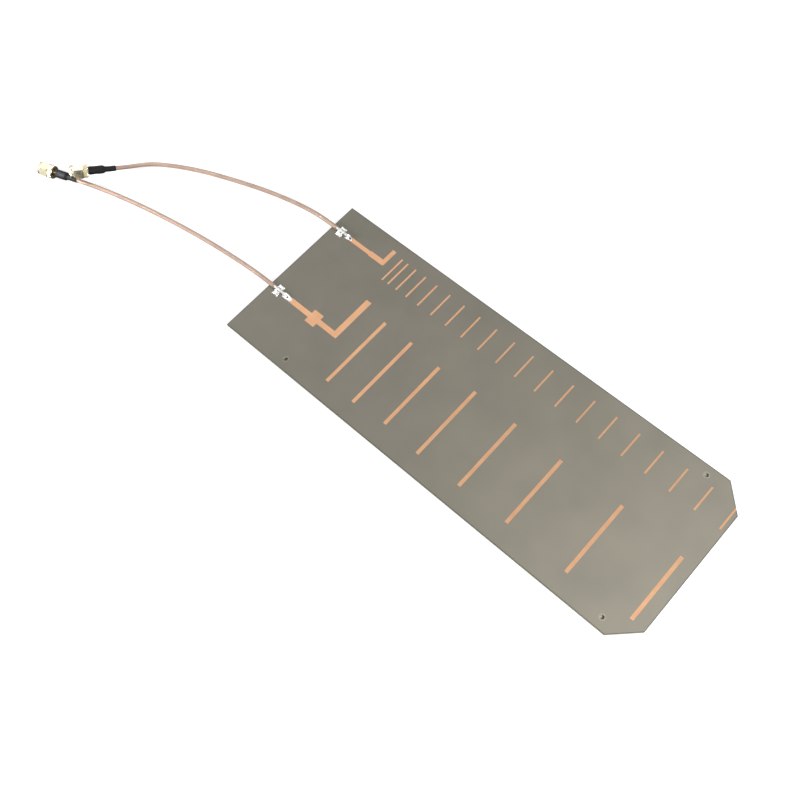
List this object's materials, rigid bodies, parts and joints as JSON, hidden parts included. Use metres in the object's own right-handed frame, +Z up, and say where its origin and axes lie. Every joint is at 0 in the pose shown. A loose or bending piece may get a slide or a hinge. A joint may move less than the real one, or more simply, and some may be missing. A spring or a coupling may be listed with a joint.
{
  "type": "directional wifi antenna",
  "caption": "Flat printed circuit board antenna with rows of copper strips, cut corners at the far end, and thin coaxial leads that end in screw-on plugs.",
  "frame": {"origin": "centre of the board's underside", "axes": "+X runs along the board from the feed end, where the leads leave, to the end with cut corners; +Y is across the board towards the row of short strips; +Z is up, out of the printed face"},
  "size_m": [0.4349, 0.1027, 0.0149],
  "materials": {
    "board_coat": "matt grey coat on glass-epoxy laminate",
    "copper": "bare copper foil, satin",
    "solder": "bright solder",
    "braid": "silver-plated copper braid",
    "jacket": "translucent brown, glossy",
    "inner_insulation": "white, waxy",
    "inner_wire": "silver-plated wire",
    "gold": "gold plating, bright",
    "spring_metal": "spring bronze",
    "crimp_metal": "gold plating",
    "gasket": "silicone rubber",
    "sleeve": "black heat-shrink tube"
  },
  "bodies": {
    "antenna": {"board": "board_coat", "high_cable_braid": "braid", "high_cable_insulation": "inner_insulation", "high_cable_jacket": "jacket", "high_cable_wire": "inner_wire", "high_centre_contact": "gold", "high_crimp_ferrule": "crimp_metal", "high_director_01": "copper", "high_director_02": "copper", "high_director_03": "copper", "high_director_04": "copper", "high_director_05": "copper", "high_director_06": "copper", "high_director_07": "copper", "high_director_08": "copper", "high_director_09": "copper", "high_director_10": "copper", "high_director_11": "copper", "high_director_12": "copper", "high_director_13": "copper", "high_director_14": "copper", "high_director_15": "copper", "high_director_16": "copper", "high_director_17": "copper", "high_director_18": "copper", "high_director_19": "copper", "high_director_20": "copper", "high_driven_copper": "copper", "high_gasket": "gasket", "high_ground_copper": "copper", "high_heat_shrink": "sleeve", "high_plug_body": "gold", "high_plug_insulator": "inner_insulation", "high_retaining_ring": "spring_metal", "high_solder": "solder", "low_cable_braid": "braid", "low_cable_insulation": "inner_insulation", "low_cable_jacket": "jacket", "low_cable_wire": "inner_wire", "low_centre_contact": "gold", "low_crimp_ferrule": "crimp_metal", "low_director_1": "copper", "low_director_2": "copper", "low_director_3": "copper", "low_director_4": "copper", "low_director_5": "copper", "low_director_6": "copper", "low_director_7": "copper", "low_director_8": "copper", "low_driven_copper": "copper", "low_gasket": "gasket", "low_ground_copper": "copper", "low_heat_shrink": "sleeve", "low_plug_body": "gold", "low_plug_insulator": "inner_insulation", "low_retaining_ring": "spring_metal", "low_solder": "solder"},
    "low_nut": {"low_coupling_nut": "gold"},
    "high_nut": {"high_coupling_nut": "gold"}
  },
  "joints": [
    {"name": "low_nut_spin", "type": "hinge", "parent": "antenna", "child": "low_nut", "pos_m": [-0.2994, -0.049, 0.004], "axis": [0.9483, 0.3173, 0], "continuous": true},
    {"name": "high_nut_spin", "type": "hinge", "parent": "antenna", "child": "high_nut", "pos_m": [-0.2759, -0.0416, 0.01125], "axis": [0.4953, 0.8244, -0.274], "continuous": true}
  ]
}
